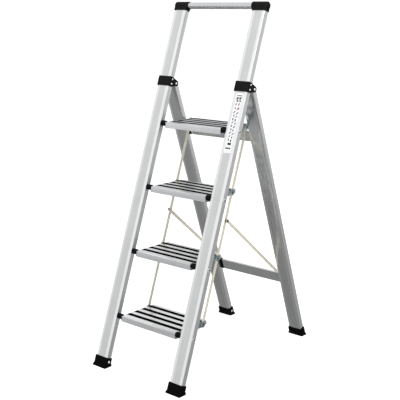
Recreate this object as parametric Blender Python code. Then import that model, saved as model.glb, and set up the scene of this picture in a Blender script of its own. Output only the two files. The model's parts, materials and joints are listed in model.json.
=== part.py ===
"""Four-tread folding stepladder with a handrail, as an assembly of separate pieces.

Metres, +Z up, +X to the right, the climbing side faces -Y. The ladder stands open.
Each moving piece hangs from an empty on its joint's axis. Round numbers are the driving
sizes; every other place is worked out from them.
"""

import math

import bmesh
import bpy
from mathutils import Matrix, Vector

GAP = 0.0003  # kept between touching pieces

# Front and rear frames
FRONT_LEAN = math.radians(19.45)
HALF_BASE = 0.385  # middle to the feet's centre lines on the floor
HALF_SPACING = 0.192  # middle to a stile's centre line
STILE_HALF_WIDTH = 0.0292
STILE_HALF_DEPTH = 0.0112
BEVEL_WIDTH = 0.0128  # the shallow slopes beside the front face's flat middle
BEVEL_DEPTH = 0.0014
REAR_CORNER = 0.0015
FRONT_CORNER = 0.0030
SLEEVE_CORNER = 0.0035  # corner radius of the mouldings round the extrusion
WALL = 0.0015
STILE_START = 0.007
STILE_END = 1.4235
INNER_FACE = HALF_SPACING - STILE_HALF_WIDTH
OUTER_FACE = HALF_SPACING + STILE_HALF_WIDTH

# Hinge between the frames, measured in the front frame
HINGE_ALONG = 1.1335
HINGE_BEHIND = 0.027
LEG_ABOVE_HINGE = 0.008
FOLD_ANGLE = math.radians(38.2)

# Hinge brackets
BRACKET_BOTTOM = 1.1138
BRACKET_TOP = 1.1516
BRACKET_WALL = 0.0025
LUG_RADIUS = 0.0115
COLLAR_REAR = 0.004  # the collar stops this far short of the stile's rear face
PLATE_FRONT = 0.0050  # the side plates start this far behind the stile's front face
PLATE_EDGE = 0.0002  # and lie this far inside the collar's ends
BRACKET_RIVETS_ALONG = (1.1245, 1.1427)
PLATE_SETBACK = 0.0001  # the side plates lie this far outside the collar's faces
RIVET_SHAFT = 0.0018
RIVET_HEAD = 0.0036
RIVET_DOME = 0.0015
HINGE_HEAD = 0.0047
HINGE_DOME = 0.0017

# Feet
FOOT_HEIGHT = 0.036
FOOT_FLARE = 0.0064
FOOT_WALL = 0.0036
FOOT_CHAMFER = 0.0010
SOLE_HEIGHT = 0.0045
FOOT_FLARE_RISE = 0.0050

# Handle
HANDLE_ALONG = 1.4392
HANDLE_RADIUS = 0.0127
HANDLE_END = 0.187
CORNER_RADIUS = 0.0155
CORNER_OUTER_END = 0.2270
CORNER_CHAMFER = 0.0012
CORNER_DOME = 0.0090
CORNER_WALL = 0.0022
CORNER_INNER_END = 0.1550
CORNER_SKIRT_BOTTOM = 1.4183
CORNER_PLUG_BOTTOM = 1.398

# Treads, measured from their pivots
TREAD_COUNT = 4
FIRST_PIVOT_HEIGHT = 0.1926
TREAD_RISE = 0.240
PIVOT_AHEAD = 0.002  # of the stile's middle plane
TREAD_HALF_LENGTH = 0.137
TREAD_FRONT = -0.0065
TREAD_REAR = 0.171
TREAD_TOP = 0.006
FASCIA_BOTTOM = -0.017
REAR_LIP_BOTTOM = -0.012
GROOVE_COUNT = 4
FIRST_GROOVE = 0.0183
GROOVE_WIDTH = 0.0199
GROOVE_PITCH = 0.0390
GROOVE_DEPTH = 0.0014
DECK = 0.0020
RIB_MIDDLES = (0.0480, 0.0870, 0.1260)
RIB_BOTTOM = -0.0095
FASCIA_RETURN = 0.0060  # where the fascia's turned-in lower edge ends
TREAD_FOLD_ANGLE = math.radians(67.0)

# Axles, bushes and cheeks
AXLE_RADIUS = 0.0025
AXLE_HEAD = 0.0058
AXLE_DOME = 0.0018
BUSH_RADIUS = 0.0107
BUSH_CHAMFER = 0.0008
BUSH_FLAT = 0.0057  # the folded link bars lie against a flat this far behind the axle
SHEET = 0.0018
CHEEK_MARGIN = 0.0006  # the cheeks stand this far outside the tread's section
CLEARANCE = 0.0003

# Link bars and braces
PIN_BACK = 0.144  # link pin behind the tread's pivot
PIN_DROP = 0.003  # and below it
PIN_RADIUS = 0.0030
EAR_RADIUS = 0.0122
EAR_FRONT = 0.0062  # the outer ear is cut off this far ahead of its pin
BAR_THICKNESS = 0.0030
BAR_HALF_WIDTH = 0.0058
BAR_OVERHANG = 0.0075
BRACE_SPACER = 0.0030  # keeps the braces clear of the treads' ears
BRACE_HEAD = 0.0055
BRACE_DOME = 0.0016
STUD_RADIUS = 0.0052
BRACE_JOINT_ALONG = 0.6478  # on the link bar, measured in the front frame
LINK_TREAD = 1  # index of the tread that carries the link bars' joint

# Crossbars between the rear legs, measured up the leg from the floor
CROSSBARS = {"lower": (0.2712, 0.0228), "upper": (0.9184, 0.0202)}  # centre and half height
CROSSBAR_FRONT = 0.0078
CROSSBAR_REAR = 0.0175
CROSSBAR_END = 0.158
CROSSBAR_CORNER = 0.0014
CAP_INNER_END = 0.1515
CAP_WALL = 0.0010
CAP_CHAMFER = 0.0005

# Places across the width, from the tread's end outwards
CHEEK_INNER = TREAD_HALF_LENGTH + GAP
CHEEK_OUTER = CHEEK_INNER + SHEET
LINK_INNER = CHEEK_OUTER + CLEARANCE
LINK_OUTER = LINK_INNER + BAR_THICKNESS
EAR_INNER = LINK_OUTER + CLEARANCE
EAR_OUTER = EAR_INNER + SHEET
BRACE_INNER = EAR_OUTER + CLEARANCE + BRACE_SPACER
BRACE_OUTER = BRACE_INNER + BAR_THICKNESS

BRACKET_INNER = STILE_HALF_WIDTH + GAP + PLATE_SETBACK
BRACKET_OUTER = STILE_HALF_WIDTH + GAP + BRACKET_WALL + 2 * PLATE_SETBACK

SIDES = (("left", -1), ("right", 1))

# Sides of round pieces
TUBE_SIDES = 28
BUSH_SIDES = 18
PIN_SIDES = 12
HOLE_SIDES = 8
CORNER_STEPS = 2

ALUMINIUM = ("aluminium", (0.72, 0.73, 0.73), 0.38, 1.0)
TREAD_ALUMINIUM = ("tread_aluminium", (0.78, 0.80, 0.82), 0.34, 1.0)
BLACK_PLASTIC = ("black_plastic", (0.018, 0.018, 0.019), 0.50, 0.0)
RUBBER = ("black_rubber", (0.012, 0.012, 0.012), 0.75, 0.0)
ZINC_STEEL = ("zinc_steel", (0.56, 0.64, 0.68), 0.30, 1.0)
BAR_STEEL = ("bar_steel", (0.60, 0.59, 0.50), 0.42, 1.0)
RIVET_STEEL = ("rivet_steel", (0.80, 0.80, 0.79), 0.28, 1.0)


def turn_x(vector, angle):
    """A (y, z) pair turned about +X."""
    y, z = vector
    cos, sin = math.cos(angle), math.sin(angle)
    return Vector((y * cos - z * sin, y * sin + z * cos))


def front_point(along, ahead):
    """(y, z) of a point in the front frame: distance up the stile, and ahead of its middle plane."""
    cos, sin = math.cos(FRONT_LEAN), math.sin(FRONT_LEAN)
    return Vector((-HALF_BASE + along * sin - ahead * cos, along * cos + ahead * sin))


HINGE = front_point(HINGE_ALONG, -HINGE_BEHIND)
REAR_FLOOR = Vector((HALF_BASE, 0.0))
LEG_LENGTH = (HINGE - REAR_FLOOR).length
REAR_LEAN = math.atan2(HALF_BASE - HINGE.x, HINGE.y)
LINK_PIN = Vector((PIN_BACK, -PIN_DROP))


def pivot_along(index):
    """How far up the stile a tread's pivot is."""
    height = FIRST_PIVOT_HEIGHT + index * TREAD_RISE
    return (height - PIVOT_AHEAD * math.sin(FRONT_LEAN)) / math.cos(FRONT_LEAN)


def tread_pivot(index):
    return front_point(pivot_along(index), PIVOT_AHEAD)


def brace_joint(tread_turn=0.0):
    """(y, z) of the brace's joint on the link bar, which stays parallel to the stiles."""
    up_stile = Vector((math.sin(FRONT_LEAN), math.cos(FRONT_LEAN)))
    open_pin = tread_pivot(LINK_TREAD) + LINK_PIN
    along = BRACE_JOINT_ALONG - (open_pin + Vector((HALF_BASE, 0.0))).dot(up_stile)
    return tread_pivot(LINK_TREAD) + turn_x(LINK_PIN, tread_turn) + up_stile * along


def brace_foot_distance():
    """Distance up the rear leg at which one brace length fits both the open and the folded ladder."""
    open_joint, folded_joint = brace_joint(), brace_joint(TREAD_FOLD_ANGLE)
    up_leg = (HINGE - REAR_FLOOR).normalized()
    folded_floor = HINGE + turn_x(REAR_FLOOR - HINGE, -FOLD_ANGLE)
    folded_up_leg = turn_x(up_leg, -FOLD_ANGLE)
    to_open, to_folded = open_joint - REAR_FLOOR, folded_joint - folded_floor
    change = 2 * (to_open.dot(up_leg) - to_folded.dot(folded_up_leg))
    return (to_open.length_squared - to_folded.length_squared) / change


BRACE_FOOT_ALONG = brace_foot_distance()
BRACE_FOOT = REAR_FLOOR + (HINGE - REAR_FLOOR).normalized() * BRACE_FOOT_ALONG
BRACE_LENGTH = (BRACE_FOOT - brace_joint()).length
BRACE_LEAN = math.atan2(BRACE_FOOT.x - brace_joint().x, brace_joint().y - BRACE_FOOT.y)


# Scene helpers

frames = {}


def clear_scene():
    for obj in list(bpy.data.objects):
        bpy.data.objects.remove(obj)


def add_frame(name, place, lean=0.0, parent=None, x=0.0):
    """An empty on a joint's axis, its local Z leaning by this much about +X."""
    matrix = Matrix.Translation((x, place[0], place[1])) @ Matrix.Rotation(lean, 4, "X")
    empty = bpy.data.objects.new(name, None)
    empty.empty_display_size = 0.05
    bpy.context.scene.collection.objects.link(empty)
    if parent:
        empty.parent = bpy.data.objects[parent]
        empty.matrix_basis = frames[parent].inverted() @ matrix
    else:
        empty.matrix_basis = matrix
    frames[name] = matrix


def material(spec):
    name, colour, roughness, metallic = spec
    found = bpy.data.materials.get(name)
    if found:
        return found
    made = bpy.data.materials.new(name)
    made.use_nodes = True
    shader = made.node_tree.nodes["Principled BSDF"]
    shader.inputs["Base Color"].default_value = (*colour, 1.0)
    shader.inputs["Roughness"].default_value = roughness
    shader.inputs["Metallic"].default_value = metallic
    return made


def add_solid(name, frame, bm, spec, place=(0.0, 0.0, 0.0)):
    """An object made from this bmesh, under the frame, with its origin at the place in the frame."""
    bmesh.ops.remove_doubles(bm, verts=bm.verts, dist=1e-7)
    bmesh.ops.recalc_face_normals(bm, faces=bm.faces)
    mesh = bpy.data.meshes.new(name)
    bm.to_mesh(mesh)
    bm.free()
    mesh.shade_smooth()
    mesh.set_sharp_from_angle(angle=math.radians(32))
    obj = bpy.data.objects.new(name, mesh)
    bpy.context.scene.collection.objects.link(obj)
    obj.parent = bpy.data.objects[frame]
    obj.location = place
    mesh.materials.append(material(spec))
    return obj


def add_helper(name, frame, bm, place=(0.0, 0.0, 0.0)):
    """A hidden operand for a Boolean."""
    obj = add_solid(name, frame, bm, BLACK_PLASTIC, place)
    obj.hide_render = True
    obj.display_type = "WIRE"
    return obj


def combine(obj, operand, operation="DIFFERENCE"):
    modifier = obj.modifiers.new(operand.name, "BOOLEAN")
    modifier.operation = operation
    modifier.object = operand
    modifier.solver = "EXACT"


# Shape helpers


def rounded(corners, steps=CORNER_STEPS):
    """A 2-D outline from (u, v, radius) corners, each round stretch an arc."""
    points = []
    count = len(corners)
    for i, (u, v, radius) in enumerate(corners):
        here = Vector((u, v))
        if radius <= 0:
            points.append(here)
            continue
        before = (Vector(corners[i - 1][:2]) - here).normalized()
        after = (Vector(corners[(i + 1) % count][:2]) - here).normalized()
        half = before.angle(after) / 2
        centre = here + (before + after).normalized() * radius / math.sin(half)
        start = here + before * radius / math.tan(half) - centre
        end = here + after * radius / math.tan(half) - centre
        sweep = start.angle_signed(end)
        for step in range(steps + 1):
            turn = -sweep * step / steps
            cos, sin = math.cos(turn), math.sin(turn)
            arm = Vector((start.x * cos - start.y * sin, start.x * sin + start.y * cos))
            points.append(centre + arm)
    return points


def circle(radius, segments, u=0.0, v=0.0):
    angles = [2 * math.pi * i / segments for i in range(segments)]
    return [Vector((u + radius * math.cos(a), v + radius * math.sin(a))) for a in angles]


def across_x(outline, x):
    """The outline's (y, z) points at this X."""
    return [Vector((x, p.x, p.y)) for p in outline]


def along_z(outline, z):
    """The outline's (x, y) points at this Z."""
    return [Vector((p.x, p.y, z)) for p in outline]


def loft(bm, rings, looped=False):
    """Joins rings of equal size into one closed body: capped at both ends, or looped like a tube's wall."""
    made = [[bm.verts.new(p) for p in ring] for ring in rings]
    count = len(made[0])
    pairs = list(zip(made, made[1:]))
    if looped:
        pairs.append((made[-1], made[0]))
    else:
        bm.faces.new(made[0])
        bm.faces.new(made[-1])
    for low, high in pairs:
        for i in range(count):
            j = (i + 1) % count
            bm.faces.new((low[i], low[j], high[j], high[i]))
    return bm


def lathe(bm, profile, segments, looped=False):
    """Turns (x, radius) points about the local X axis. The profile starts and ends flat unless it loops."""
    return loft(bm, [across_x(circle(r, segments), x) for x, r in profile], looped)


def rod(bm, x_low, x_high, radius, segments=PIN_SIDES, y=0.0, z=0.0):
    return loft(bm, [across_x(circle(radius, segments, y, z), x) for x in (x_low, x_high)])


def stile_outline(grow=0.0):
    """The extrusion's (x, y) outline, with bevels on its front (-y) corners."""
    width, depth = STILE_HALF_WIDTH + grow, STILE_HALF_DEPTH + grow
    slope = math.atan2(BEVEL_DEPTH, BEVEL_WIDTH)
    flat = STILE_HALF_WIDTH - BEVEL_WIDTH + grow * math.tan(slope / 2)
    shoulder = -depth + (width - flat) * math.tan(slope)
    small = max(REAR_CORNER + grow, GAP)
    wide = max(FRONT_CORNER + grow, GAP)
    corners = [
        (-width, depth, small),
        (-width, shoulder, wide),
        (-flat, -depth, wide),
        (flat, -depth, wide),
        (width, shoulder, wide),
        (width, depth, small),
    ]
    return rounded(corners)


def sleeve_outline(grow=0.0):
    """(x, y) outline of a moulding round the extrusion, with small round corners."""
    width, depth = STILE_HALF_WIDTH + grow, STILE_HALF_DEPTH + grow
    corners = [(-width, depth), (-width, -depth), (width, -depth), (width, depth)]
    return rounded([(x, y, SLEEVE_CORNER) for x, y in corners], 3)


def extrusion(bm, low, high):
    """A length of the hollow stile extrusion along Z."""
    outer, inner = stile_outline(), stile_outline(-WALL)
    rings = [along_z(outer, low), along_z(outer, high), along_z(inner, high), along_z(inner, low)]
    return loft(bm, rings, looped=True)


def domed_rivet(bm, x_low, x_high, shaft, head, height):
    """A rivet along X: its shaft runs between two domed heads that start at these faces."""
    profile = [
        (x_low - height, head * 0.45),
        (x_low - height * 0.75, head * 0.80),
        (x_low - height * 0.2, head),
        (x_low, head),
        (x_low, shaft),
        (x_high, shaft),
        (x_high, head),
        (x_high + height * 0.2, head),
        (x_high + height * 0.75, head * 0.80),
        (x_high + height, head * 0.45),
    ]
    return lathe(bm, profile, PIN_SIDES)


# Front frame


def add_stiles():
    for side, sign in SIDES:
        stile = add_solid(
            f"stile_{side}", "front_frame", extrusion(bmesh.new(), STILE_START, STILE_END),
            ALUMINIUM, (sign * HALF_SPACING, 0.0, 0.0),
        )
        holes = bmesh.new()
        reach = STILE_HALF_WIDTH + 0.005
        for index in range(TREAD_COUNT):
            radius = AXLE_RADIUS + GAP
            rod(holes, -reach, reach, radius, HOLE_SIDES, -PIVOT_AHEAD, pivot_along(index))
        for along in BRACKET_RIVETS_ALONG:
            rod(holes, -reach, reach, RIVET_SHAFT + GAP, HOLE_SIDES, 0.0, along)
        helper = add_helper(
            f"stile_holes_{side}", "front_frame", holes, (sign * HALF_SPACING, 0.0, 0.0)
        )
        combine(stile, helper)


def floor_ring(grow, height, lean):
    """A level ring of a boot round the leaning stile, at this height above the floor."""
    shift = height * math.tan(lean)
    points = sleeve_outline(grow)
    return [Vector((p.x, p.y / math.cos(lean) + shift, height)) for p in points]


def square_ring(outline, along, lean):
    """A ring square to the leaning stile, this far along it."""
    matrix = Matrix.Rotation(-lean, 3, "X")
    return [matrix @ Vector((p.x, p.y, along)) for p in outline]


def add_feet(place_name, lean):
    """Two boots on the floor: flared sole, and a pocket that the leaning stile stands in."""
    for side, sign in SIDES:
        flare = FOOT_FLARE
        rings = [
            floor_ring(flare - FOOT_CHAMFER, 0.0, lean),
            floor_ring(flare, FOOT_CHAMFER, lean),
            floor_ring(flare, SOLE_HEIGHT, lean),
            floor_ring(FOOT_WALL, SOLE_HEIGHT + FOOT_FLARE_RISE, lean),
            square_ring(sleeve_outline(FOOT_WALL), FOOT_HEIGHT - FOOT_CHAMFER, lean),
            square_ring(sleeve_outline(FOOT_WALL - FOOT_CHAMFER), FOOT_HEIGHT, lean),
        ]
        boot = add_solid(
            f"{place_name}_foot_{side}", f"{place_name}_floor", loft(bmesh.new(), rings),
            RUBBER, (sign * HALF_SPACING, 0.0, 0.0),
        )
        ends = (STILE_START - GAP, FOOT_HEIGHT + 0.01)
        pocket = [square_ring(stile_outline(GAP), z, lean) for z in ends]
        helper = add_helper(
            f"{place_name}_pocket_{side}", f"{place_name}_floor", loft(bmesh.new(), pocket),
            (sign * HALF_SPACING, 0.0, 0.0),
        )
        combine(boot, helper)


def add_handle():
    profile = [
        (-HANDLE_END, HANDLE_RADIUS),
        (HANDLE_END, HANDLE_RADIUS),
        (HANDLE_END, HANDLE_RADIUS - WALL),
        (-HANDLE_END, HANDLE_RADIUS - WALL),
    ]
    tube = lathe(bmesh.new(), profile, TUBE_SIDES, looped=True)
    add_solid("handle_tube", "front_frame", tube, ALUMINIUM, (0.0, 0.0, HANDLE_ALONG))


def add_handle_corners():
    """Plastic corners: a barrel with a domed end, a skirt round the stile, and a plug in it."""
    for side, sign in SIDES:
        inner, outer = sign * CORNER_INNER_END, sign * CORNER_OUTER_END
        chamfer, dome = CORNER_CHAMFER * sign, CORNER_DOME * sign
        profile = [
            (inner, CORNER_RADIUS - CORNER_CHAMFER),
            (inner + chamfer, CORNER_RADIUS),
            (outer - dome, CORNER_RADIUS),
            (outer - 0.60 * dome, CORNER_RADIUS * 0.93),
            (outer - 0.28 * dome, CORNER_RADIUS * 0.77),
            (outer - 0.08 * dome, CORNER_RADIUS * 0.50),
            (outer, CORNER_RADIUS * 0.18),
        ]
        place = (0.0, 0.0, HANDLE_ALONG)
        corner = add_solid(
            f"handle_corner_{side}", "front_frame", lathe(bmesh.new(), profile, TUBE_SIDES),
            BLACK_PLASTIC, place,
        )
        centre = Vector((sign * HALF_SPACING, 0.0, 0.0))

        def block(outline, low, high):
            rings = [[p + centre for p in along_z(outline, z)] for z in (low, high)]
            return loft(bmesh.new(), rings)

        skirt = add_helper(
            f"corner_skirt_{side}", "front_frame",
            block(sleeve_outline(CORNER_WALL), CORNER_SKIRT_BOTTOM, HANDLE_ALONG),
        )
        pocket = add_helper(
            f"corner_pocket_{side}", "front_frame",
            block(stile_outline(GAP), CORNER_SKIRT_BOTTOM - 0.01, STILE_END + GAP),
        )
        plug = add_helper(
            f"corner_plug_{side}", "front_frame",
            block(stile_outline(-WALL - GAP), CORNER_PLUG_BOTTOM, STILE_END + 0.001),
        )
        start, end = sign * (CORNER_INNER_END - 0.01), sign * (HANDLE_END + GAP)
        bore = rod(bmesh.new(), start, end, HANDLE_RADIUS + GAP, TUBE_SIDES)
        socket = add_helper(f"corner_socket_{side}", "front_frame", bore, place)
        combine(corner, skirt, "UNION")
        combine(corner, pocket)
        combine(corner, plug, "UNION")
        combine(corner, socket)


def collar_outline():
    """The bracket's collar, open to the rear, as an (x, y) outline round the stile."""
    outer = sleeve_outline(GAP + BRACKET_WALL)
    inner = stile_outline(GAP)
    rear = STILE_HALF_DEPTH - COLLAR_REAR
    outside = [p for p in outer if p.y < rear]
    inside = [p for p in inner if p.y < rear]
    first = [Vector((outside[0].x, rear))]
    last = [Vector((outside[-1].x, rear))]
    back = [Vector((inside[-1].x, rear))]
    home = [Vector((inside[0].x, rear))]
    return first + outside + last + back + inside[::-1] + home


def side_plate_outline():
    """A bracket's side plate in (y, z): square at the stile, sloping down to the round lug."""
    front = -STILE_HALF_DEPTH + PLATE_FRONT
    lug = Vector((HINGE_BEHIND, HINGE_ALONG))
    shoulder = Vector((front + 0.003, BRACKET_TOP - PLATE_EDGE))
    heel = Vector((front + 0.003, BRACKET_BOTTOM + PLATE_EDGE))

    def tangent(point, turn):
        arm = point - lug
        offset = turn * math.acos(LUG_RADIUS / arm.length)
        return math.atan2(arm.y, arm.x) + offset

    start, end = tangent(shoulder, -1), tangent(heel, 1)
    while end > start:
        end -= 2 * math.pi
    steps = 14
    arc = []
    for step in range(steps + 1):
        angle = start + (end - start) * step / steps
        arc.append(lug + LUG_RADIUS * Vector((math.cos(angle), math.sin(angle))))
    return [Vector((front, heel.y)), Vector((front, shoulder.y)), shoulder] + arc + [heel]


def add_hinge_brackets():
    for side, sign in SIDES:
        centre = (sign * HALF_SPACING, 0.0, 0.0)
        outline = collar_outline()
        rings = [along_z(outline, z) for z in (BRACKET_BOTTOM, BRACKET_TOP)]
        bracket = add_solid(
            f"hinge_bracket_{side}", "front_frame", loft(bmesh.new(), rings), BLACK_PLASTIC, centre
        )
        plates = ((-BRACKET_OUTER, -BRACKET_INNER), (BRACKET_INNER, BRACKET_OUTER))
        for number, ends in enumerate(plates):
            rings = [across_x(side_plate_outline(), x) for x in ends]
            plate = add_helper(
                f"bracket_plate_{side}_{number}", "front_frame", loft(bmesh.new(), rings), centre
            )
            combine(bracket, plate, "UNION")
        holes = bmesh.new()
        reach = BRACKET_OUTER + 0.004
        rod(holes, -reach, reach, PIN_RADIUS + GAP, PIN_SIDES, HINGE_BEHIND, HINGE_ALONG)
        for along in BRACKET_RIVETS_ALONG:
            rod(holes, -reach, reach, RIVET_SHAFT + GAP, HOLE_SIDES, 0.0, along)
        combine(bracket, add_helper(f"bracket_holes_{side}", "front_frame", holes, centre))


def add_bracket_rivets():
    face = BRACKET_OUTER + GAP
    for side, sign in SIDES:
        for level, along in zip(("lower", "upper"), BRACKET_RIVETS_ALONG):
            rivet = domed_rivet(bmesh.new(), -face, face, RIVET_SHAFT, RIVET_HEAD, RIVET_DOME)
            add_solid(
                f"bracket_rivet_{level}_{side}", "front_frame", rivet, RIVET_STEEL,
                (sign * HALF_SPACING, 0.0, along),
            )
        pin = domed_rivet(bmesh.new(), -face, face, PIN_RADIUS, HINGE_HEAD, HINGE_DOME)
        add_solid(
            f"hinge_pin_{side}", "front_frame", pin, RIVET_STEEL,
            (sign * HALF_SPACING, HINGE_BEHIND, HINGE_ALONG),
        )


# Rear frame, in a frame at the hinge whose Z runs up the leg


def up_leg(distance):
    """Local Z in the rear frame of a place this far up the leg from the floor."""
    return distance - LEG_LENGTH


def add_rear_legs():
    for side, sign in SIDES:
        centre = (sign * HALF_SPACING, 0.0, 0.0)
        body = extrusion(bmesh.new(), up_leg(STILE_START), LEG_ABOVE_HINGE)
        leg = add_solid(f"rear_leg_{side}", "rear_frame_axis", body, ALUMINIUM, centre)
        reach = STILE_HALF_WIDTH + 0.004
        holes = rod(bmesh.new(), -reach, reach, PIN_RADIUS + GAP)
        stud = up_leg(BRACE_FOOT_ALONG)
        rod(holes, -sign * reach, 0.0, PIN_RADIUS + GAP, PIN_SIDES, 0.0, stud)
        combine(leg, add_helper(f"leg_holes_{side}", "rear_frame_axis", holes, centre))


def crossbar_outline(half_height, grow=0.0):
    """(y, z) section of a crossbar about its own centre."""
    half_depth = (CROSSBAR_REAR - CROSSBAR_FRONT) / 2 + grow
    half_height += grow
    radius = max(CROSSBAR_CORNER + grow, GAP)
    corners = [
        (-half_depth, -half_height, radius),
        (half_depth, -half_height, radius),
        (half_depth, half_height, radius),
        (-half_depth, half_height, radius),
    ]
    return rounded(corners)


def add_crossbars():
    middle = (CROSSBAR_FRONT + CROSSBAR_REAR) / 2
    for level, (distance, half_height) in CROSSBARS.items():
        place = (0.0, middle, up_leg(distance))
        outer, inner = crossbar_outline(half_height), crossbar_outline(half_height, -WALL)
        rings = [
            across_x(outer, -CROSSBAR_END),
            across_x(outer, CROSSBAR_END),
            across_x(inner, CROSSBAR_END),
            across_x(inner, -CROSSBAR_END),
        ]
        bar = loft(bmesh.new(), rings, looped=True)
        add_solid(f"{level}_crossbar", "rear_frame_axis", bar, ALUMINIUM, place)
        for side, sign in SIDES:
            wide = crossbar_outline(half_height, CAP_WALL)
            thin = crossbar_outline(half_height, CAP_WALL - CAP_CHAMFER)
            pocket = crossbar_outline(half_height, GAP)
            leg_face = INNER_FACE - GAP
            rings = [
                across_x(wide, sign * leg_face),
                across_x(wide, sign * (CAP_INNER_END + CAP_CHAMFER)),
                across_x(thin, sign * CAP_INNER_END),
                across_x(pocket, sign * CAP_INNER_END),
                across_x(pocket, sign * (CROSSBAR_END + GAP)),
            ]
            cap = loft(bmesh.new(), rings)
            add_solid(f"{level}_crossbar_cap_{side}", "rear_frame_axis", cap, BLACK_PLASTIC, place)


def add_brace_studs():
    """Studs on the legs' inner faces that the braces' lower ends meet."""
    for side, sign in SIDES:
        start = BRACE_OUTER + GAP
        profile = [
            (sign * start, STUD_RADIUS - 0.0006),
            (sign * (start + 0.0006), STUD_RADIUS),
            (sign * (INNER_FACE - GAP), STUD_RADIUS),
            (sign * (INNER_FACE - GAP), PIN_RADIUS),
            (sign * (INNER_FACE + 0.0035), PIN_RADIUS),
        ]
        place = (0.0, 0.0, up_leg(BRACE_FOOT_ALONG))
        stud = lathe(bmesh.new(), profile, PIN_SIDES)
        add_solid(f"brace_stud_{side}", "rear_frame_axis", stud, RIVET_STEEL, place)


# Treads, each in a frame on its pivot


def tread_outline():
    """(y, z) section: nosing, grooved deck, rear lip, and ribs below."""
    top = [(TREAD_FRONT, FASCIA_BOTTOM, 0.0006), (TREAD_FRONT, TREAD_TOP, 0.0030)]
    floor = TREAD_TOP - GROOVE_DEPTH
    for index in range(GROOVE_COUNT):
        start = FIRST_GROOVE + index * GROOVE_PITCH
        end = start + GROOVE_WIDTH
        top += [(start, TREAD_TOP, 0), (start, floor, 0), (end, floor, 0), (end, TREAD_TOP, 0)]
    top += [(TREAD_REAR, TREAD_TOP, 0.0025), (TREAD_REAR, REAR_LIP_BOTTOM, 0.0005)]
    under = floor - DECK
    nose_under = TREAD_TOP - DECK
    wall = SHEET
    bottom = [(TREAD_REAR - wall, REAR_LIP_BOTTOM, 0), (TREAD_REAR - wall, under, 0)]
    for middle in reversed(RIB_MIDDLES):
        bottom += [
            (middle + wall / 2, under, 0),
            (middle + wall / 2, RIB_BOTTOM, 0),
            (middle - wall / 2, RIB_BOTTOM, 0),
            (middle - wall / 2, under, 0),
        ]
    bottom += [
        (FIRST_GROOVE - 0.002, under, 0),
        (FIRST_GROOVE - 0.002, nose_under, 0),
        (TREAD_FRONT + wall, nose_under, 0),
        (TREAD_FRONT + wall, FASCIA_BOTTOM + wall, 0),
        (FASCIA_RETURN, FASCIA_BOTTOM + wall, 0),
        (FASCIA_RETURN, FASCIA_BOTTOM, 0),
    ]
    return rounded(top + bottom)


def cheek_outline():
    """(y, z) outline of a cheek: rounded nose, tapering back to the round ear."""
    front, top = TREAD_FRONT - CHEEK_MARGIN, TREAD_TOP - CHEEK_MARGIN
    bottom = FASCIA_BOTTOM - CHEEK_MARGIN
    start, end, steps = math.radians(118), math.radians(-97), 12
    ear = []
    for step in range(steps + 1):
        angle = start + (end - start) * step / steps
        ear.append(LINK_PIN + EAR_RADIUS * Vector((math.cos(angle), math.sin(angle))))
    corners = [(front, bottom, 0.0050), (front, top, 0.0040)]
    corners += [(PIN_BACK - 0.022, top, 0)]
    corners += [(p.x, p.y, 0) for p in ear]
    corners += [(0.10, bottom + 0.0025, 0), (0.030, bottom, 0)]
    return rounded(corners, 4)


def sector(radius_low, radius_high, start, end, steps=6):
    """A thick arc about the link pin, as a (y, z) outline."""
    angles = [math.radians(start + (end - start) * i / steps) for i in range(steps + 1)]
    outer = [LINK_PIN + radius_high * Vector((math.cos(a), math.sin(a))) for a in angles]
    inner = [LINK_PIN + radius_low * Vector((math.cos(a), math.sin(a))) for a in reversed(angles)]
    return outer + inner


def add_cheek(number, side, sign):
    """Steel cheek on a tread's end: axle bore in front, clevis with a fixed pin at the rear."""
    frame = f"tread_{number}_axis"

    def plate(outline, low, high):
        return loft(bmesh.new(), [across_x(outline, sign * x) for x in (low, high)])

    name = f"tread_{number}_cheek_{side}"
    cheek = add_solid(name, frame, plate(cheek_outline(), CHEEK_INNER, CHEEK_OUTER), ZINC_STEEL)
    ear = circle(EAR_RADIUS - 0.0002, 20, PIN_BACK, -PIN_DROP)
    ear = [Vector((max(p.x, PIN_BACK - EAR_FRONT), p.y)) for p in ear]
    web = sector(EAR_RADIUS - 0.0020, EAR_RADIUS - 0.0001, 289, 325)
    pin = circle(PIN_RADIUS, PIN_SIDES, PIN_BACK, -PIN_DROP)
    inside, outside = CHEEK_INNER + 0.0004, EAR_OUTER - 0.0003
    pieces = {
        "ear": plate(ear, EAR_INNER, EAR_OUTER),
        "web": plate(web, inside, outside),
        "pin": plate(pin, inside, outside),
    }
    for piece, bm in pieces.items():
        combine(cheek, add_helper(f"{name}_{piece}", frame, bm), "UNION")
    low, high = sign * (CHEEK_INNER - 0.01), sign * (CHEEK_OUTER + 0.01)
    bore = rod(bmesh.new(), low, high, AXLE_RADIUS + GAP)
    combine(cheek, add_helper(f"{name}_bore", frame, bore))


def add_bush(number, side, sign):
    """Spacer round the axle between cheek and stile, with a flat on its back."""
    low, high = CHEEK_OUTER + GAP, INNER_FACE - GAP
    profile = [
        (sign * low, BUSH_RADIUS - BUSH_CHAMFER),
        (sign * (low + BUSH_CHAMFER), BUSH_RADIUS),
        (sign * (high - BUSH_CHAMFER), BUSH_RADIUS),
        (sign * high, BUSH_RADIUS - BUSH_CHAMFER),
        (sign * high, AXLE_RADIUS + GAP),
        (sign * low, AXLE_RADIUS + GAP),
    ]
    name = f"tread_{number}_bush_{side}"
    place = (0.0, -PIVOT_AHEAD, pivot_along(number - 1))
    bush = add_solid(
        name, "front_frame", lathe(bmesh.new(), profile, BUSH_SIDES, looped=True), BLACK_PLASTIC, place
    )
    reach = BUSH_RADIUS + 0.005
    box = [(BUSH_FLAT, -reach), (reach, -reach), (reach, reach), (BUSH_FLAT, reach)]
    outline = [Vector(corner) for corner in box]
    ends = (sign * (low - 0.005), sign * (high + 0.005))
    block = loft(bmesh.new(), [across_x(outline, x) for x in ends])
    combine(bush, add_helper(f"{name}_flat", "front_frame", block, place))


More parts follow.
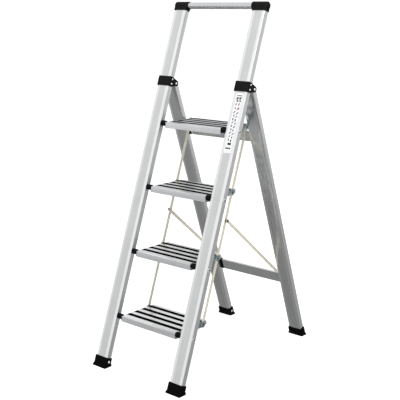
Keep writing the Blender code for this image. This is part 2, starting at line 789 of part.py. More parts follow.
def add_treads():
    for index in range(TREAD_COUNT):
        number = index + 1
        rings = [across_x(tread_outline(), x) for x in (-TREAD_HALF_LENGTH, TREAD_HALF_LENGTH)]
        deck = loft(bmesh.new(), rings)
        add_solid(f"tread_{number}", f"tread_{number}_axis", deck, TREAD_ALUMINIUM)
        reach = OUTER_FACE + GAP
        axle = domed_rivet(bmesh.new(), -reach, reach, AXLE_RADIUS, AXLE_HEAD, AXLE_DOME)
        place = (0.0, -PIVOT_AHEAD, pivot_along(index))
        add_solid(f"tread_{number}_axle", "front_frame", axle, RIVET_STEEL, place)
        for side, sign in SIDES:
            add_cheek(number, side, sign)
            add_bush(number, side, sign)


# Linkage


def bar_outline(low, high):
    """A flat bar with round ends between two holes on its Z line, as a (y, z) outline."""
    steps = 10
    points = []
    for centre, start in ((high, 0.0), (low, math.pi)):
        for step in range(steps + 1):
            angle = start + math.pi * step / steps
            across, along = BAR_HALF_WIDTH * math.cos(angle), BAR_HALF_WIDTH * math.sin(angle)
            points.append(Vector((across, centre + along)))
    return points


def link_pin_heights():
    """Each tread's link pin, measured along the link bar from the joint that carries it."""
    first = pivot_along(LINK_TREAD)
    return [pivot_along(index) - first for index in range(TREAD_COUNT)]


def add_linkage():
    pins = link_pin_heights()
    joint = (brace_joint() - tread_pivot(LINK_TREAD) - LINK_PIN).length
    overhang = BAR_OVERHANG - BAR_HALF_WIDTH
    for side, sign in SIDES:
        outline = bar_outline(pins[0] - overhang, pins[-1] + overhang)
        rings = [across_x(outline, sign * x) for x in (LINK_INNER, LINK_OUTER)]
        frame = f"link_axis_{side}"
        link = add_solid(f"link_bar_{side}", frame, loft(bmesh.new(), rings), BAR_STEEL)
        holes = bmesh.new()
        for z in pins + [joint]:
            low, high = sign * (LINK_INNER - 0.004), sign * (LINK_OUTER + 0.004)
            rod(holes, low, high, PIN_RADIUS + GAP, PIN_SIDES, 0.0, z)
        combine(link, add_helper(f"link_holes_{side}", frame, holes))

        frame = f"brace_axis_{side}"
        outline = bar_outline(-BRACE_LENGTH, 0.0)
        rings = [across_x(outline, sign * x) for x in (BRACE_INNER, BRACE_OUTER)]
        brace = add_solid(f"brace_{side}", frame, loft(bmesh.new(), rings), BAR_STEEL)
        holes = bmesh.new()
        for z in (-BRACE_LENGTH, 0.0):
            low, high = sign * (BRACE_INNER - 0.004), sign * (BRACE_OUTER + 0.004)
            rod(holes, low, high, PIN_RADIUS + GAP, PIN_SIDES, 0.0, z)
        combine(brace, add_helper(f"brace_holes_{side}", frame, holes))
        add_brace_rivets(side, sign)


def add_brace_rivets(side, sign):
    """The rivet that joins brace and link bar, flush on the inner side, and the foot's rivet."""
    upper_face, lower_face = BRACE_OUTER + GAP, BRACE_INNER - GAP
    upper = [
        (LINK_INNER + 0.0002, PIN_RADIUS),
        (LINK_OUTER + GAP, PIN_RADIUS),
        (LINK_OUTER + GAP, BRACE_HEAD),
        (lower_face, BRACE_HEAD),
        (lower_face, PIN_RADIUS),
        (upper_face, PIN_RADIUS),
        (upper_face, BRACE_HEAD),
        (upper_face + BRACE_DOME / 2, BRACE_HEAD),
        (upper_face + BRACE_DOME, BRACE_HEAD * 0.6),
    ]
    lower = [
        (lower_face - BRACE_DOME, BRACE_HEAD * 0.6),
        (lower_face - BRACE_DOME / 2, BRACE_HEAD),
        (lower_face, BRACE_HEAD),
        (lower_face, PIN_RADIUS),
        (BRACE_OUTER - 0.0002, PIN_RADIUS),
    ]
    frame = f"brace_axis_{side}"
    for name, profile, z in (("brace_rivet", upper, 0.0), ("brace_foot_rivet", lower, -BRACE_LENGTH)):
        body = lathe(bmesh.new(), [(sign * x, r) for x, r in profile], PIN_SIDES + 2)
        add_solid(f"{name}_{side}", frame, body, RIVET_STEEL, (0.0, 0.0, z))


def add_frames():
    add_frame("front_floor", (-HALF_BASE, 0.0))
    add_frame("front_frame", (-HALF_BASE, 0.0), -FRONT_LEAN)
    add_frame("rear_frame_axis", HINGE, REAR_LEAN, "front_frame")
    add_frame("rear_floor", REAR_FLOOR, 0.0, "rear_frame_axis")
    for index in range(TREAD_COUNT):
        add_frame(f"tread_{index + 1}_axis", tread_pivot(index), 0.0, "front_frame")
    carrier = f"tread_{LINK_TREAD + 1}_axis"
    for side, _ in SIDES:
        link_place = tread_pivot(LINK_TREAD) + LINK_PIN
        add_frame(f"link_axis_{side}", link_place, -FRONT_LEAN, carrier)
        add_frame(f"brace_axis_{side}", brace_joint(), BRACE_LEAN, f"link_axis_{side}")


def main():
    clear_scene()
    add_frames()
    add_stiles()
    add_feet("front", FRONT_LEAN)
    add_handle()
    add_handle_corners()
    add_hinge_brackets()
    add_bracket_rivets()
    add_rear_legs()
    add_feet("rear", -REAR_LEAN)
    add_crossbars()
    add_brace_studs()
    add_treads()
    add_linkage()


main()
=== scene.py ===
"""The folding stepladder's looks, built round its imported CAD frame: materials, grip strips,
rivets, plugs, a plain sticker, the floor, the studio and the camera. Metres, +Z up."""

import json
import math

import bmesh
import bpy
from mathutils import Matrix, Vector


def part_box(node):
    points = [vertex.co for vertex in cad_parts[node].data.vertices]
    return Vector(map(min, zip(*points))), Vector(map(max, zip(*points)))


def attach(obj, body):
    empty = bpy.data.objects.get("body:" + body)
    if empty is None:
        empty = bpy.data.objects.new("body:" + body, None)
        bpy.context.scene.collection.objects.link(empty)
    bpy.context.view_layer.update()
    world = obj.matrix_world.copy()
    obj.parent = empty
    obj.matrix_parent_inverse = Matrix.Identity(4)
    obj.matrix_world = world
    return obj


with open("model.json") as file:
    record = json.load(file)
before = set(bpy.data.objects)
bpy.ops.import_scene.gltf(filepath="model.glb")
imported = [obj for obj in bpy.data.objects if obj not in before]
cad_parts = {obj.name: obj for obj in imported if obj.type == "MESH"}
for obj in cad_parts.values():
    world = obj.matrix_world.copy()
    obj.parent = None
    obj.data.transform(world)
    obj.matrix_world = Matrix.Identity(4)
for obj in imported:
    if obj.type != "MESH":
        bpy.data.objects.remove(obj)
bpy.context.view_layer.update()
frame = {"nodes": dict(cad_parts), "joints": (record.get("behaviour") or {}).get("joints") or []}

JOINTS = {joint["name"]: joint for joint in frame["joints"]}
TREADS = (1, 2, 3, 4)
SIDES = (("left", -1), ("right", 1))


def joint_place(name):
    return Vector(JOINTS[name]["pos_m"])


def tread_pivot(tread):
    return joint_place(f"tread_{tread}_pivot")


def lean_between(low, high):
    """The angle from vertical of the line between two points, in the plane of Y and Z."""
    return math.atan2(high.y - low.y, high.z - low.z)


def middle(node):
    low, high = (Vector(corner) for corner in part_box(node))
    return (low + high) / 2


FRONT_LEAN = lean_between(tread_pivot(1), tread_pivot(4))
HINGE = joint_place("fold")
REAR_FOOT = middle("rear_foot_right")
REAR_LEAN = math.atan2(REAR_FOOT.y - HINGE.y, HINGE.z)
HALF_BASE = 0.385  # the feet's centre lines are this far from the middle

STILE_X = middle("stile_right").x
STILE_OUTER_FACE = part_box("stile_right")[1][0]
STILE_HALF_WIDTH = STILE_OUTER_FACE - STILE_X
STILE_HALF_DEPTH = 0.0112
FLAT_HALF_WIDTH = 0.0164  # of the front face's flat middle
BOOT_WALL = 0.0036

# Treads, measured from their pivots
TREAD_HALF_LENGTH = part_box("tread_1")[1][0]
TREAD_TOP = 0.006
FIRST_GROOVE = 0.0183
GROOVE_WIDTH = 0.0199
GROOVE_PITCH = 0.0390
GROOVE_DEPTH = 0.0014
GROOVE_COUNT = 4
LINK_PIN_BACK = 0.144
LINK_PIN_DROP = 0.003
EAR_FACE = 0.1445  # the cheek ears' outer face, from the ladder's middle

# Shading: edges under these angles are smooth
CAD_SMOOTH_ANGLE = math.radians(38)
PIECE_SMOOTH_ANGLE = math.radians(35)
WELD_DISTANCE = 0.000002
LARGEST_FACE_WINS = 100  # the weighted normals' strongest setting


# Node helpers


def new_material(name, roughness=0.5, metallic=0.0):
    """A material with a Principled shader, and its node tree."""
    made = bpy.data.materials.new(name)
    made.use_nodes = True
    shader = made.node_tree.nodes["Principled BSDF"]
    shader.inputs["Roughness"].default_value = roughness
    shader.inputs["Metallic"].default_value = metallic
    return made, made.node_tree, shader


def feed(tree, socket, value):
    """Link a node's output into the socket, or set anything else as its value."""
    if isinstance(value, bpy.types.NodeSocket):
        tree.links.new(value, socket)
    else:
        socket.default_value = value


def add_node(tree, kind, **inputs):
    """A node of this kind with its inputs fed."""
    node = tree.nodes.new(kind)
    for key, value in inputs.items():
        feed(tree, node.inputs[key], value)
    return node


def object_space(tree, turn=(0.0, 0.0, 0.0), scale=(1.0, 1.0, 1.0)):
    """Object coordinates turned first and then scaled."""
    place = add_node(tree, "ShaderNodeTexCoord").outputs["Object"]
    turned = add_node(tree, "ShaderNodeMapping", Vector=place, Rotation=turn)
    scaled = add_node(tree, "ShaderNodeMapping", Vector=turned.outputs[0], Scale=scale)
    return scaled.outputs[0]


def noise(tree, vector, scale, detail):
    node = add_node(
        tree, "ShaderNodeTexNoise", Vector=vector, Scale=scale, Detail=detail, Roughness=0.55
    )
    return node.outputs["Fac"]


def ramp(tree, factor, stops):
    """A colour ramp with (place, colour or grey) stops."""
    node = add_node(tree, "ShaderNodeValToRGB", Fac=factor)
    elements = node.color_ramp.elements
    while len(elements) < len(stops):
        elements.new(0.5)
    for element, (place, colour) in zip(elements, stops):
        element.position = place
        grey = (colour, colour, colour) if isinstance(colour, (int, float)) else colour
        element.color = (*grey, 1.0)
    return node.outputs["Color"]


def multiply(tree, first, second):
    """The product of two colours."""
    node = tree.nodes.new("ShaderNodeMix")
    node.data_type = "RGBA"
    node.blend_type = "MULTIPLY"
    node.inputs["Factor"].default_value = 1.0
    first_colour, second_colour = node.inputs[6], node.inputs[7]
    tree.links.new(first, first_colour)
    tree.links.new(second, second_colour)
    return node.outputs[2]


def math_node(tree, operation, *values):
    """A Math node fed by outputs or plain numbers."""
    node = tree.nodes.new("ShaderNodeMath")
    node.operation = operation
    for socket, value in zip(node.inputs, values):
        feed(tree, socket, value)
    return node.outputs[0]


def map_range(tree, value, from_range, to_range=(0.0, 1.0)):
    """A Map Range node from one range of numbers to another."""
    node = add_node(tree, "ShaderNodeMapRange", Value=value)
    node.inputs["From Min"].default_value, node.inputs["From Max"].default_value = from_range
    node.inputs["To Min"].default_value, node.inputs["To Max"].default_value = to_range
    return node


def add_bump(tree, shader, height, strength, distance):
    bump = add_node(
        tree, "ShaderNodeBump", Height=height, Strength=strength, Distance=distance
    )
    tree.links.new(bump.outputs[0], shader.inputs["Normal"])


# Materials


def shades(tone, dark, light):
    """A tone's darker and lighter versions, white at most."""
    return [c * dark for c in tone], [min(c * light, 1.0) for c in tone]


def drawn_lines(tree, lean, along, across, lengthwise):
    """Noise stretched along an extrusion that leans in Y and Z, or lies along X."""
    scale = (across, across, lengthwise) if along == "Z" else (lengthwise, across, across)
    return noise(tree, object_space(tree, (lean, 0.0, 0.0), scale), 1.0, 2.0)


def beside_flat(tree, beyond):
    """Grey that is 1 on a stile's flat middle and another value beside it: the mask of a painted
    highlight on the bevels.
    """
    half_blur = 0.0008
    split = add_node(tree, "ShaderNodeSeparateXYZ", Vector=object_space(tree))
    width = math_node(tree, "ABSOLUTE", split.outputs["X"])
    offset = math_node(tree, "ABSOLUTE", math_node(tree, "SUBTRACT", width, STILE_X))
    share = map_range(tree, offset, (FLAT_HALF_WIDTH - half_blur, FLAT_HALF_WIDTH + half_blur))
    return ramp(tree, share.outputs[0], [(0.0, 1.0), (1.0, beyond)])


def extruded_aluminium(name, lean, tone, along="Z", rough=(0.24, 0.40), bevel_highlight=1.0):
    """Satin extruded aluminium: fine drawn lines and broader streaks along the extrusion, and a
    soft mottle. Where the highlight factor isn't 1, the strips beside a stile's flat middle are
    painted that much brighter, a painted highlight on the bevels."""
    made, tree, shader = new_material(name, metallic=1.0)
    lines = drawn_lines(tree, lean, along, 900.0, 5.0)
    streaks = drawn_lines(tree, lean, along, 190.0, 1.5)
    mottle = noise(tree, object_space(tree), 14.0, 4.0)
    dark, light = shades(tone, 0.93, 1.05)
    line_tint = ramp(tree, lines, [(0.25, dark), (0.75, light)])
    patch_tint = ramp(tree, mottle, [(0.3, 0.94), (0.7, 1.0)])
    streak_tint = ramp(tree, streaks, [(0.30, 0.93), (0.62, 1.0)])
    tint = multiply(tree, multiply(tree, line_tint, patch_tint), streak_tint)
    # Painted highlight: the bevels beside the flat middle get a brighter colour
    if bevel_highlight != 1.0:
        tint = multiply(tree, tint, beside_flat(tree, bevel_highlight))
    tree.links.new(tint, shader.inputs["Base Color"])
    roughness = ramp(tree, lines, [(0.2, rough[0]), (0.8, rough[1])])
    tree.links.new(roughness, shader.inputs["Roughness"])
    add_bump(tree, shader, lines, 0.10, 0.0002)
    return made


def zinc_steel(name):
    """Zinc-plated pressed steel: bluish, with a faint cloudy spangle."""
    made, tree, shader = new_material(name, metallic=1.0)
    cloud = noise(tree, object_space(tree), 160.0, 4.0)
    spangle = add_node(tree, "ShaderNodeTexVoronoi", Vector=object_space(tree), Scale=240.0)
    dark, light = shades((0.52, 0.62, 0.67), 0.80, 1.12)
    cloud_tint = ramp(tree, cloud, [(0.3, dark), (0.7, light)])
    spangle_tint = ramp(tree, spangle.outputs["Distance"], [(0.0, 1.0), (0.8, 0.86)])
    tree.links.new(multiply(tree, cloud_tint, spangle_tint), shader.inputs["Base Color"])
    tree.links.new(ramp(tree, cloud, [(0.3, 0.22), (0.7, 0.38)]), shader.inputs["Roughness"])
    add_bump(tree, shader, cloud, 0.08, 0.0003)
    return made


def bar_steel(name):
    """Passivated flat bar, dull and slightly warm, with faint rolling lines along it."""
    made, tree, shader = new_material(name, metallic=0.5)
    along_bar = object_space(tree, (FRONT_LEAN, 0.0, 0.0), (700.0, 700.0, 12.0))
    lines = noise(tree, along_bar, 1.0, 3.0)
    mottle = noise(tree, object_space(tree), 60.0, 4.0)
    tint = ramp(tree, mottle, [(0.3, (0.72, 0.69, 0.57)), (0.7, (0.86, 0.83, 0.71))])
    tree.links.new(tint, shader.inputs["Base Color"])
    tree.links.new(ramp(tree, lines, [(0.2, 0.32), (0.8, 0.48)]), shader.inputs["Roughness"])
    add_bump(tree, shader, lines, 0.08, 0.0002)
    return made


def rivet_steel(name, tone):
    """Headed rivets: fine wear in the polish."""
    made, tree, shader = new_material(name, metallic=0.55)
    wear = noise(tree, object_space(tree), 900.0, 3.0)
    tint = ramp(tree, wear, [(0.3, [c * 0.86 for c in tone]), (0.7, tone)])
    tree.links.new(tint, shader.inputs["Base Color"])
    tree.links.new(ramp(tree, wear, [(0.2, 0.16), (0.8, 0.30)]), shader.inputs["Roughness"])
    return made


def moulded_plastic(name, tone, gloss, rough=(0.36, 0.52), grain=2600.0, bump=0.20):
    """Black moulding with the fine spark-eroded grain of its tool."""
    made, tree, shader = new_material(name)
    shader.inputs["Specular IOR Level"].default_value = gloss
    fine = noise(tree, object_space(tree), grain, 2.0)
    broad = noise(tree, object_space(tree), 45.0, 4.0)
    tint = ramp(tree, broad, [(0.3, tone * 0.8), (0.7, tone * 1.35)])
    tree.links.new(tint, shader.inputs["Base Color"])
    roughness = ramp(tree, broad, [(0.3, rough[0]), (0.7, rough[1])])
    tree.links.new(roughness, shader.inputs["Roughness"])
    add_bump(tree, shader, fine, bump, 0.0002)
    return made


def sticker_paper(name):
    """Glossy white label film with a faint waviness."""
    made, tree, shader = new_material(name, roughness=0.28)
    wave = noise(tree, object_space(tree), 90.0, 2.0)
    tint = ramp(tree, wave, [(0.3, (0.68, 0.68, 0.70)), (0.7, (0.74, 0.74, 0.755))])
    tree.links.new(tint, shader.inputs["Base Color"])
    add_bump(tree, shader, wave, 0.05, 0.0004)
    return made


def printed_ink(name, tone):
    """Printed patches whose ink cover varies a little."""
    made, tree, shader = new_material(name, roughness=0.35)
    cover = noise(tree, object_space(tree), 700.0, 3.0)
    light = [c * 1.5 for c in tone]
    tree.links.new(ramp(tree, cover, [(0.3, tone), (0.8, light)]), shader.inputs["Base Color"])
    return made


# The front frame's and rear legs' aluminium carry a painted highlight: their bevels are painted
# brighter.
ALUMINIUM_FRONT = extruded_aluminium(
    "satin_aluminium_front", FRONT_LEAN, (0.77, 0.78, 0.78), bevel_highlight=1.28
)
ALUMINIUM_REAR = extruded_aluminium(
    "satin_aluminium_rear", -REAR_LEAN, (0.79, 0.80, 0.80), rough=(0.18, 0.30), bevel_highlight=1.2
)
ALUMINIUM_TUBE = extruded_aluminium(
    "satin_aluminium_tube", 0.0, (0.80, 0.82, 0.84), "X", (0.12, 0.22)
)
ALUMINIUM_BAR = extruded_aluminium("satin_aluminium_crossbar", 0.0, (0.80, 0.81, 0.81), "X")
ALUMINIUM_TREAD = extruded_aluminium(
    "bright_aluminium_tread", 0.0, (0.87, 0.885, 0.90), "X", (0.22, 0.36)
)
ZINC = zinc_steel("zinc_plated_steel")
BAR = bar_steel("rolled_bar_steel")
BRIGHT = rivet_steel("bright_rivet_steel", (0.97, 0.97, 0.96))
DARK_STEEL = rivet_steel("dark_rivet_steel", (0.10, 0.10, 0.085))
PLASTIC = moulded_plastic("black_moulded_plastic", 0.004, 0.10)
BUSH_PLASTIC = moulded_plastic("black_bush_plastic", 0.002, 0.07, (0.45, 0.60))
RUBBER = moulded_plastic("black_boot_rubber", 0.0016, 0.04, (0.60, 0.80), 1800.0, 0.30)
GRIP = moulded_plastic("black_grip_strip", 0.0020, 0.005, (0.75, 0.90), 1500.0, 0.35)
PAPER = sticker_paper("sticker_film")
DARK_INK = printed_ink("dark_grey_ink", (0.010, 0.010, 0.012))
WARM_INK = printed_ink("muted_red_ink", (0.20, 0.075, 0.055))

# The first start that fits a node's name gives its material
CAD_MATERIALS = (
    ("stile_", ALUMINIUM_FRONT),
    ("rear_leg_", ALUMINIUM_REAR),
    ("handle_tube", ALUMINIUM_TUBE),
    ("handle_corner_", PLASTIC),
    ("hinge_bracket_", PLASTIC),
    ("front_foot_", RUBBER),
    ("rear_foot_", RUBBER),
    ("link_bar_", BAR),
    ("brace_rivet_", DARK_STEEL),
    ("brace_foot_rivet_", DARK_STEEL),
    ("brace_stud_", BRIGHT),
    ("brace_", BAR),
    ("bracket_rivet_", BRIGHT),
    ("hinge_pin_", BRIGHT),
)


def material_for(node):
    for start, made in CAD_MATERIALS:
        if node.startswith(start):
            return made
    if node.endswith("_crossbar"):
        return ALUMINIUM_BAR
    if "_cap_" in node or "_bush_" in node:
        return BUSH_PLASTIC
    if "_cheek_" in node:
        return ZINC
    if node.endswith("_axle"):
        return BRIGHT
    return ALUMINIUM_TREAD


# CAD nodes: materials, and smooth shading where the surface is round


def smoothing_group():
    """Geometry nodes that weld split points and shade smooth except across sharp edges."""
    group = bpy.data.node_groups.new("smooth_round_faces", "GeometryNodeTree")
    group.interface.new_socket("Geometry", in_out="INPUT", socket_type="NodeSocketGeometry")
    group.interface.new_socket("Geometry", in_out="OUTPUT", socket_type="NodeSocketGeometry")
    start = group.nodes.new("NodeGroupInput")
    merge = add_node(
        group, "GeometryNodeMergeByDistance", Geometry=start.outputs[0], Distance=WELD_DISTANCE
    )
    plain = add_node(
        group, "GeometryNodeRemoveAttribute", Geometry=merge.outputs[0], Name="custom_normal"
    )
    faces = add_node(group, "GeometryNodeSetShadeSmooth", Geometry=plain.outputs[0])
    angle = group.nodes.new("GeometryNodeInputMeshEdgeAngle")
    sharp = group.nodes.new("FunctionNodeCompare")
    sharp.inputs[1].default_value = CAD_SMOOTH_ANGLE
    group.links.new(angle.outputs["Unsigned Angle"], sharp.inputs[0])
    edges = group.nodes.new("GeometryNodeSetShadeSmooth")
    edges.domain = "EDGE"
    edges.inputs["Shade Smooth"].default_value = False
    group.links.new(faces.outputs[0], edges.inputs["Geometry"])
    group.links.new(sharp.outputs[0], edges.inputs["Selection"])
    end = group.nodes.new("NodeGroupOutput")
    group.links.new(edges.outputs[0], end.inputs[0])
    return group


def dress_cad_nodes():
    smoothing = smoothing_group()
    for name, node in frame["nodes"].items():
        node.data.materials.clear()
        node.data.materials.append(material_for(name))
        modifier = node.modifiers.new("smooth", "NODES")
        modifier.node_group = smoothing
        weighted = node.modifiers.new("flats_stay_flat", "WEIGHTED_NORMAL")
        weighted.keep_sharp = True
        weighted.weight = LARGEST_FACE_WINS


# Shape helpers


def add_piece(name, bm, material, body, matrix):
    """A mesh piece riding on a CAD body, moved by the matrix."""
    bmesh.ops.recalc_face_normals(bm, faces=bm.faces)
    mesh = bpy.data.meshes.new(name)
    bm.to_mesh(mesh)
    bm.free()
    mesh.shade_smooth()
    mesh.set_sharp_from_angle(angle=PIECE_SMOOTH_ANGLE)
    mesh.transform(matrix)
    piece = bpy.data.objects.new(name, mesh)
    bpy.context.scene.collection.objects.link(piece)
    mesh.materials.append(material)
    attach(piece, body)


def close_rings(bm, rings):
    """Walls between equal rings of vertices, and a cap on the first and the last."""
    bm.faces.new(rings[0])
    bm.faces.new(rings[-1])
    for low, high in zip(rings, rings[1:]):
        for i in range(len(low)):
            j = (i + 1) % len(low)
            bm.faces.new((low[i], low[j], high[j], high[i]))


def prism(outline, low, high):
    """A closed prism along X from a (y, z) outline."""
    bm = bmesh.new()
    close_rings(bm, [[bm.verts.new((x, y, z)) for y, z in outline] for x in (low, high)])
    return bm


def add_slab(bm, outline, front, back):
    """A thin closed plate between two Y values from an (x, z) outline."""
    close_rings(bm, [[bm.verts.new((x, y, z)) for x, z in outline] for y in (front, back)])


def dome(radius, height):
    """A closed low dome about Z with a short upright edge, its base just below Z = 0."""
    sides, steps, sunk, upright = 20, 5, 0.0002, 0.15
    profile = [(radius, -sunk), (radius, upright * height)]
    for step in range(1, steps + 1):
        angle = math.pi / 2 * step / (steps + 1)
        rise = upright + (1 - upright) * math.sin(angle)
        profile.append((radius * math.cos(angle), rise * height))
    bm = bmesh.new()
    turns = [2 * math.pi * i / sides for i in range(sides)]
    close_rings(bm, [
        [bm.verts.new((r * math.cos(turn), r * math.sin(turn), z)) for turn in turns]
        for r, z in profile
    ])
    return bm


def add_head(name, spot, facing, size, material, body):
    """A round head at this spot, its dome towards +X or -X; size is its radius and height."""
    matrix = Matrix.Translation(spot) @ Matrix.Rotation(facing * math.pi / 2, 4, "Y")
    add_piece(name, dome(*size), material, body, matrix)


# Pieces


def grip_outline(front):
    """(y, z) section of a ribbed grip strip whose front edge is here."""
    side_gap, lift, ribs, rib_height = 0.0002, 0.00005, 7, 0.00035
    crest_start, crest_end, valley = 0.22, 0.70, 0.96  # shares of the ribs' pitch
    low, base = TREAD_TOP - GROOVE_DEPTH + lift, TREAD_TOP + lift
    start, end = front + side_gap, front + GROOVE_WIDTH - side_gap
    outline = [(start, low), (start, base)]
    pitch = (end - start) / ribs
    for rib in range(ribs):
        at, crest = start + rib * pitch, base + rib_height
        outline += [(at + crest_start * pitch, crest), (at + crest_end * pitch, crest)]
        if rib < ribs - 1:
            outline.append((at + valley * pitch, base))
    return outline + [(end, base), (end, low)]


def add_grip_strips():
    end_gap = 0.0012
    half_length = TREAD_HALF_LENGTH - end_gap
    for tread in TREADS:
        pivot = tread_pivot(tread)
        for groove in range(GROOVE_COUNT):
            outline = grip_outline(FIRST_GROOVE + groove * GROOVE_PITCH)
            add_piece(
                f"tread_{tread}_grip_{groove + 1}", prism(outline, -half_length, half_length),
                GRIP, f"tread_{tread}_body", Matrix.Translation((0.0, pivot.y, pivot.z)),
            )


def add_foot_rivets():
    """One rivet through each boot's inner face."""
    rise, size = 0.021, (0.0050, 0.0018)
    inner_face = STILE_X - STILE_HALF_WIDTH - BOOT_WALL
    for end, y, lean in (("front", -HALF_BASE, FRONT_LEAN), ("rear", HALF_BASE, -REAR_LEAN)):
        for side, sign in SIDES:
            spot = Vector((sign * inner_face, y + rise * math.sin(lean), rise * math.cos(lean)))
            name = f"{end}_foot_rivet_{side}"
            add_head(name, spot, -sign, size, BRIGHT, f"{end}_frame")


def add_axle_end_shades():
    """A small black dome on each axle end: painted shade for the dark hollow of a tubular axle.
    """
    seat, size = 0.0019, (0.0036, 0.0006)
    for tread in TREADS:
        pivot = tread_pivot(tread)
        for side, sign in SIDES:
            spot = Vector((sign * (STILE_OUTER_FACE + seat), pivot.y, pivot.z))
            name = f"tread_{tread}_axle_end_shade_{side}"
            add_head(name, spot, sign, size, BUSH_PLASTIC, "front_frame")


def add_cheek_rivets():
    """A dark head on each link pin, outside the cheek's ear."""
    size = (0.0044, 0.0012)
    for tread in TREADS:
        pivot = tread_pivot(tread)
        for side, sign in SIDES:
            spot = Vector((sign * EAR_FACE, pivot.y + LINK_PIN_BACK, pivot.z - LINK_PIN_DROP))
            name = f"tread_{tread}_cheek_rivet_{side}"
            add_head(name, spot, sign, size, DARK_STEEL, f"tread_{tread}_body")


def round_rectangle(half_width, low, high, corner):
    """(x, z) outline of an upright rectangle with rounded corners."""
    steps = 3
    outline = []
    for u, v, start in ((1, 1, 0.0), (-1, 1, 0.5), (-1, -1, 1.0), (1, -1, 1.5)):
        for step in range(steps + 1):
            angle = math.pi * (start + 0.5 * step / steps)
            end = high if v > 0 else low
            x = u * (half_width - corner) + corner * math.cos(angle)
            outline.append((x, end - v * corner + corner * math.sin(angle)))
    return outline


def slanted_bar(x, z, half_width, half_height, slant):
    """(x, z) outline of a small bar whose top leans to +X by the slant."""
    return [
        (x - half_width - slant, z - half_height),
        (x + half_width - slant, z - half_height),
        (x + half_width + slant, z + half_height),
        (x - half_width + slant, z + half_height),
    ]


def sticker_marks(high):
    """Plain bars and blocks on the sticker, by ink: (x, z, half width, half height, slant)."""
    rows, first_row, row_pitch = 9, 0.0725, 0.0128
    grey = [(0.0015, high - 0.0105, 0.0112, 0.0015, 0.0)]
    grey += [(x, high - 0.0205, 0.0046, 0.0040, 0.0016) for x in (-0.0060, 0.0068)]
    grey += [(x, high - 0.0300, 0.0038, 0.0030, -0.0012) for x in (-0.0040, 0.0085)]
    red = [(x, high - 0.0430, 0.0026, 0.0046, 0.0020) for x in (-0.0070, 0.0062)]
    red.append((-0.0065, high - 0.0575, 0.0022, 0.0040, -0.0016))
    red.append((0.0068, high - 0.0585, 0.0042, 0.0044, 0.0016))
    for row in range(rows):
        z = high - first_row - row_pitch * row
        lean = 0.0032 - 0.0016 * (row % 3)
        tall = 0.0044 - 0.0010 * (row % 2)
        grey.append((-0.0066 + 0.0012 * (row % 2), z, 0.0023, tall, lean))
        grey.append((0.0072 - 0.0010 * (row % 3), z - 0.0034, 0.0025, tall, lean))
    grey.append((0.0015, high - 0.1900, 0.0080, 0.0042, 0.0))
    grey += [(x, high - 0.2065, 0.0034, 0.0030, 0.0) for x in (-0.0085, -0.0005, 0.0075)]
    return {"grey": grey, "red": red}


def add_sticker():
    """A white film sticker with plain generic patches on the right stile."""
    low, high, film, ink = 0.884, 1.108, 0.00012, 0.00004
    margin, corner, lift = 0.0006, 0.003, 0.00002
    face = -STILE_HALF_DEPTH - lift
    # From the stile's own axes: Z up the stile from the floor, -Y square out of its front
    place = Matrix.Translation((STILE_X, -HALF_BASE, 0.0)) @ Matrix.Rotation(-FRONT_LEAN, 4, "X")
    bm = bmesh.new()
    add_slab(bm, round_rectangle(FLAT_HALF_WIDTH - margin, low, high, corner), face, face - film)
    add_piece("sticker", bm, PAPER, "front_frame", place)
    inks = {"grey": DARK_INK, "red": WARM_INK}
    for name, marks in sticker_marks(high).items():
        bm = bmesh.new()
        for mark in marks:
            add_slab(bm, slanted_bar(*mark), face - film, face - film - ink)
        add_piece(f"sticker_marks_{name}", bm, inks[name], "front_frame", place)


# Stage

# The studio's grey from straight down (0) to straight up (1)
SKY = (
    (0.0, 0.18), (0.12, 0.22), (0.20, 0.21), (0.30, 0.42), (0.40, 0.44), (0.45, 0.84),
    (0.50, 0.84), (0.55, 0.60), (0.61, 0.66), (0.68, 0.68), (0.74, 0.63), (1.0, 0.78),
)

# The studio's strength at the front left and, fading along this axis, at the rear right
FADE_AXIS = (0.62, 0.736, 0.0)
FADE = (1.19, 0.81)

# Soft panels, and shades where the strength is negative: direction, cosines of the angles
# from it at which each begins and is full, and strength added
SOFT_PANELS = (
    ((-0.60, 0.70, 0.55), 0.90, 0.985, 0.60),
    ((-0.67, 0.74, 0.05), 0.93, 0.99, -0.48),
    ((-0.66, -0.72, -0.12), 0.955, 0.995, -0.16),
    ((1.0, 0.0, 0.0), 0.80, 0.96, -0.42),
    ((-1.0, 0.0, 0.0), 0.84, 0.97, -0.36),
    ((-0.36, -0.80, 0.50), 0.92, 0.985, 0.30),
    ((-0.86, -0.44, 0.42), 0.96, 0.995, 0.42),
)


def add_floor():
    """A pale matte floor just under the boots, lit evenly by its own glow, out of reflections."""
    reach, drop = 30.0, 0.0002
    bm = bmesh.new()
    corners = ((-reach, -reach), (reach, -reach), (reach, reach), (-reach, reach))
    bm.faces.new([bm.verts.new((x, y, 0.0)) for x, y in corners])
    mesh = bpy.data.meshes.new("floor")
    bm.to_mesh(mesh)
    bm.free()
    floor = bpy.data.objects.new("floor", mesh)
    floor.location.z = -drop
    bpy.context.scene.collection.objects.link(floor)
    made = bpy.data.materials.new("pale_floor")
    made.use_nodes = True
    tree = made.node_tree
    tree.nodes.clear()
    matte = add_node(tree, "ShaderNodeBsdfDiffuse", Color=(0.9, 0.9, 0.9, 1.0))
    glow = add_node(tree, "ShaderNodeEmission", Color=(1.0, 1.0, 1.0, 1.0), Strength=0.56)
    lit = tree.nodes.new("ShaderNodeAddShader")
    tree.links.new(matte.outputs[0], lit.inputs[0])
    tree.links.new(glow.outputs[0], lit.inputs[1])
    out = tree.nodes.new("ShaderNodeOutputMaterial")
    tree.links.new(lit.outputs[0], out.inputs[0])
    mesh.materials.append(made)
    floor.visible_glossy = False


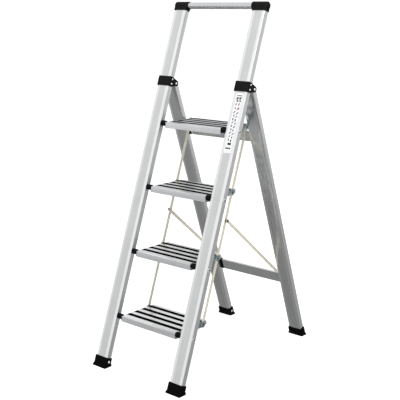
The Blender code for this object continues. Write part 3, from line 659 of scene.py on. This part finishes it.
def towards(tree, direction, axis, cosines, values):
    """A number between two values as the direction's cosine with the axis passes the cosines."""
    dot = add_node(tree, "ShaderNodeVectorMath", Vector=direction)
    dot.operation = "DOT_PRODUCT"
    dot.inputs[1].default_value = Vector(axis).normalized()
    share = map_range(tree, dot.outputs["Value"], cosines, values)
    share.interpolation_type = "SMOOTHSTEP"
    return share.outputs[0]


def add_world():
    """White to the camera; to the metal, a studio that is bright around and darker below."""
    world = bpy.data.worlds.new("studio")
    bpy.context.scene.world = world
    world.use_nodes = True
    tree = world.node_tree
    tree.nodes.clear()
    direction = add_node(tree, "ShaderNodeTexCoord").outputs["Generated"]
    split = add_node(tree, "ShaderNodeSeparateXYZ", Vector=direction)
    height = map_range(tree, split.outputs["Z"], (-1.0, 1.0))
    sky = ramp(tree, height.outputs[0], SKY)
    strength = towards(tree, direction, FADE_AXIS, (-1.0, 1.0), FADE)
    for axis, start, full, amount in SOFT_PANELS:
        panel = towards(tree, direction, axis, (start, full), (0.0, amount))
        strength = math_node(tree, "ADD", strength, panel)
    studio = add_node(tree, "ShaderNodeBackground", Color=sky, Strength=strength)
    white = add_node(tree, "ShaderNodeBackground", Color=(1.0, 1.0, 1.0, 1.0), Strength=1.1)
    path = tree.nodes.new("ShaderNodeLightPath")
    mix = tree.nodes.new("ShaderNodeMixShader")
    tree.links.new(path.outputs["Is Camera Ray"], mix.inputs[0])
    tree.links.new(studio.outputs[0], mix.inputs[1])
    tree.links.new(white.outputs[0], mix.inputs[2])
    out = tree.nodes.new("ShaderNodeOutputWorld")
    tree.links.new(mix.outputs[0], out.inputs[0])


def add_softbox(name, direction, power):
    """A square soft box in this direction from the ladder's middle, facing it."""
    distance, width, aim = 4.0, 2.0, Vector((0.0, 0.0, 0.6))
    light = bpy.data.lights.new(name, "AREA")
    light.shape = "SQUARE"
    light.size = width
    light.energy = power
    lamp = bpy.data.objects.new(name, light)
    away = Vector(direction).normalized()
    lamp.location = aim + away * distance
    lamp.rotation_euler = away.to_track_quat("Z", "Y").to_euler()
    bpy.context.scene.collection.objects.link(lamp)


def add_camera():
    data = bpy.data.cameras.new("camera")
    data.lens = 77.41
    camera = bpy.data.objects.new("camera", data)
    camera.location = (2.1208, -2.4923, 1.3535)
    camera.rotation_euler = (math.radians(77.331), 0.0, math.radians(40.699))
    bpy.context.scene.collection.objects.link(camera)
    bpy.context.scene.camera = camera


dress_cad_nodes()
add_grip_strips()
add_foot_rivets()
add_axle_end_shades()
add_cheek_rivets()
add_sticker()
add_floor()
add_world()
add_softbox("front_softbox", (0.45, -0.70, 1.00), 46.0)
add_softbox("right_softbox", (0.90, -0.25, 0.95), 58.0)
add_camera()
bpy.context.scene.view_settings.view_transform = "Standard"
